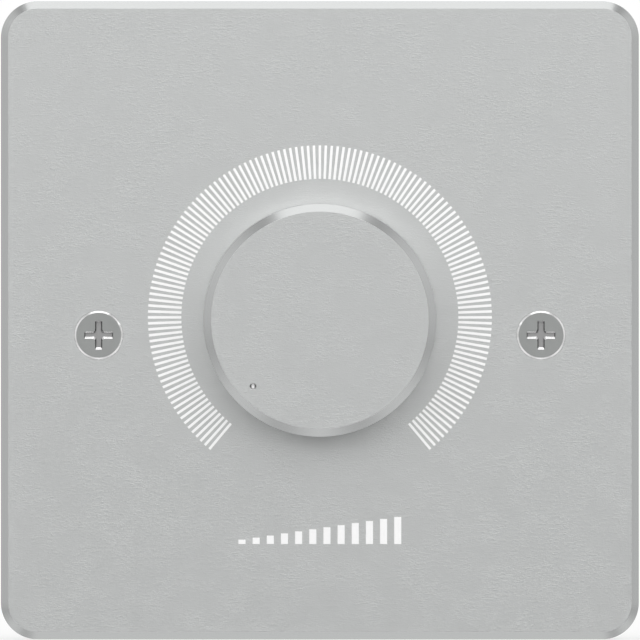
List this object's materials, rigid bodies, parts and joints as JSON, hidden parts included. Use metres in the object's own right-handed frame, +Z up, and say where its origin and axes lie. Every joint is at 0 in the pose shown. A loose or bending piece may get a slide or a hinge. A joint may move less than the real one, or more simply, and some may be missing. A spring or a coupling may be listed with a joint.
{
  "type": "wall-mounted speaker volume controller",
  "caption": "Square metal wall plate with a large turned knob, a ring of printed ticks and two countersunk screws; a circuit board with a wire terminal sits behind it.",
  "frame": {"origin": "midway between the two fixing screws, in the plane of the wall, which is the faceplate's back", "axes": "+Z up, -Y out of the faceplate's front towards the user, +Y into the wall box, +X to the right as the user sees it"},
  "size_m": [0.087, 0.0393, 0.087],
  "materials": {
    "plate_metal": "satin anodised, finely textured",
    "knob_metal": "satin anodised, turned",
    "white_ink": "printed, matte",
    "screw_steel": "nickel plated",
    "black_steel": "black oxide",
    "nut_nickel": "nickel plated",
    "frame_steel": "tin plated",
    "bushing_zinc": "die cast",
    "shaft_steel": "turned",
    "rotor_resin": "moulded",
    "wiper_brass": "sprung sheet",
    "housing_resin": "moulded",
    "track_carbon": "screened carbon",
    "pin_tin": "tinned",
    "board_laminate": "solder mask",
    "standoff_steel": "zinc plated",
    "terminal_plastic": "moulded",
    "cage_nickel": "nickel plated",
    "resistor_coat": "lacquered, banded",
    "diode_glass": "tinted glass body",
    "capacitor_film": "moulded box"
  },
  "bodies": {
    "controller": {"faceplate": "plate_metal", "scale_marks": "white_ink", "level_mark": "white_ink", "wall_screws": "screw_steel", "pot_nut": "nut_nickel", "pot_washer": "nut_nickel", "pot_frame": "frame_steel", "pot_bushing": "bushing_zinc", "pot_housing": "housing_resin", "pot_track": "track_carbon", "pot_terminals": "pin_tin", "circuit_board": "board_laminate", "board_standoffs": "standoff_steel", "board_screws": "screw_steel", "board_washers": "screw_steel", "terminal_housing": "terminal_plastic", "terminal_tongues": "pin_tin", "series_resistors": "resistor_coat", "protection_diodes": "diode_glass", "filter_capacitor": "capacitor_film"},
    "dial": {"knob": "knob_metal", "knob_set_screw": "black_steel", "pot_shaft": "shaft_steel", "pot_clip": "black_steel", "pot_rotor": "rotor_resin", "pot_wiper": "wiper_brass"},
    "screw_1": {"clamp_screw_1": "screw_steel"},
    "screw_2": {"clamp_screw_2": "screw_steel"},
    "screw_3": {"clamp_screw_3": "screw_steel"},
    "cage_1": {"clamp_cage_1": "cage_nickel"},
    "cage_2": {"clamp_cage_2": "cage_nickel"},
    "cage_3": {"clamp_cage_3": "cage_nickel"}
  },
  "joints": [
    {"name": "dial_turn", "type": "hinge", "parent": "controller", "child": "dial", "pos_m": [0, 0, 0.00203], "axis": [0, 1, 0], "range_deg": [-5.3, 274.7]},
    {"name": "clamp_screw_1_turn", "type": "hinge", "parent": "controller", "child": "screw_1", "pos_m": [-0.00508, 0.0195, -0.02052], "axis": [0, -1, 0], "range_deg": [0, 1800]},
    {"name": "clamp_screw_2_turn", "type": "hinge", "parent": "controller", "child": "screw_2", "pos_m": [0, 0.0195, -0.02052], "axis": [0, -1, 0], "range_deg": [0, 1800]},
    {"name": "clamp_screw_3_turn", "type": "hinge", "parent": "controller", "child": "screw_3", "pos_m": [0.00508, 0.0195, -0.02052], "axis": [0, -1, 0], "range_deg": [0, 1800]},
    {"name": "clamp_cage_1_slide", "type": "slide", "parent": "controller", "child": "cage_1", "axis": [0, 1, 0], "range_m": [0, 0.0025]},
    {"name": "clamp_cage_2_slide", "type": "slide", "parent": "controller", "child": "cage_2", "axis": [0, 1, 0], "range_m": [0, 0.0025]},
    {"name": "clamp_cage_3_slide", "type": "slide", "parent": "controller", "child": "cage_3", "axis": [0, 1, 0], "range_m": [0, 0.0025]}
  ],
  "couplings": [
    {"joint": "clamp_screw_1_turn", "follows": "clamp_cage_1_slide", "rad_per_m": 12566},
    {"joint": "clamp_screw_2_turn", "follows": "clamp_cage_2_slide", "rad_per_m": 12566},
    {"joint": "clamp_screw_3_turn", "follows": "clamp_cage_3_slide", "rad_per_m": 12566}
  ]
}
